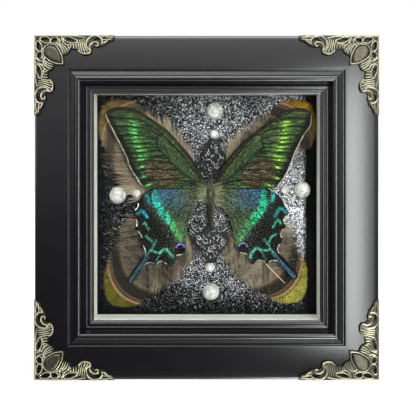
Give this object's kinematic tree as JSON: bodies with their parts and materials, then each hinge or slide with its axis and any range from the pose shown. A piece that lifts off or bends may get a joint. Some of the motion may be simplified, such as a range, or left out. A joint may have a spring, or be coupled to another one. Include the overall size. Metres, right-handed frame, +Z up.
{
  "type": "framed butterfly specimen",
  "caption": "Mounted swallowtail butterfly in a square black shadow box with glitter backing, feathers, half pearls and antiqued metal corner ornaments.",
  "frame": {"origin": "centre of the underside of the frame, midway between its front ornaments and its back edge", "axes": "+Z up, the framed front faces -Y, +X to the viewer's right"},
  "size_m": [0.2, 0.0386, 0.2],
  "materials": {
    "black_lacquer": "satin black lacquer on moulded frame stock",
    "antiqued_metal": "antiqued casting with dark recesses",
    "clear_glass": "clear float glass",
    "cream_spacer": "smooth cream board",
    "glitter_card": "black card covered with silver glitter",
    "backing_board": "brown hardboard",
    "steel_hardware": "bright zinc",
    "feather": "downy brown vanes with a golden tip",
    "pearl": "ivory pearl coat",
    "black_openwork": "glossy black with clear crystals",
    "forewing": "green-dusted black scales",
    "hindwing": "black scales with a metallic blue-green band",
    "insect_body": "dark hairy chitin"
  },
  "bodies": {
    "root": {"rail_bottom": "black_lacquer", "rail_left": "black_lacquer", "rail_top": "black_lacquer", "rail_right": "black_lacquer", "corner_bottom_left": "antiqued_metal", "corner_top_left": "antiqued_metal", "corner_top_right": "antiqued_metal", "corner_bottom_right": "antiqued_metal", "glass_pane": "clear_glass", "spacer_left": "cream_spacer", "spacer_right": "cream_spacer", "spacer_top": "cream_spacer", "spacer_bottom": "cream_spacer", "glitter_card": "glitter_card", "backing_board": "backing_board", "feather_top_left": "feather", "feather_top_right": "feather", "feather_bottom_left": "feather", "feather_bottom_right": "feather", "pearl_large_top": "pearl", "pearl_small_top": "pearl", "pearl_large_left": "pearl", "pearl_small_left": "pearl", "pearl_large_right": "pearl", "pearl_small_right": "pearl", "pearl_large_bottom": "pearl", "pearl_small_bottom": "pearl", "black_openwork": "black_openwork", "forewing_left": "forewing", "forewing_right": "forewing", "hindwing_left": "hindwing", "hindwing_right": "hindwing", "butterfly_body": "insect_body", "retaining_point_bottom_1": "steel_hardware", "retaining_point_bottom_2": "steel_hardware", "retaining_point_left_1": "steel_hardware", "retaining_point_left_2": "steel_hardware", "retaining_point_top_1": "steel_hardware", "retaining_point_top_2": "steel_hardware", "retaining_point_right_1": "steel_hardware", "retaining_point_right_2": "steel_hardware", "hanger_bar": "steel_hardware", "hanger_nail_1": "steel_hardware", "hanger_nail_2": "steel_hardware"}
  },
  "joints": []
}
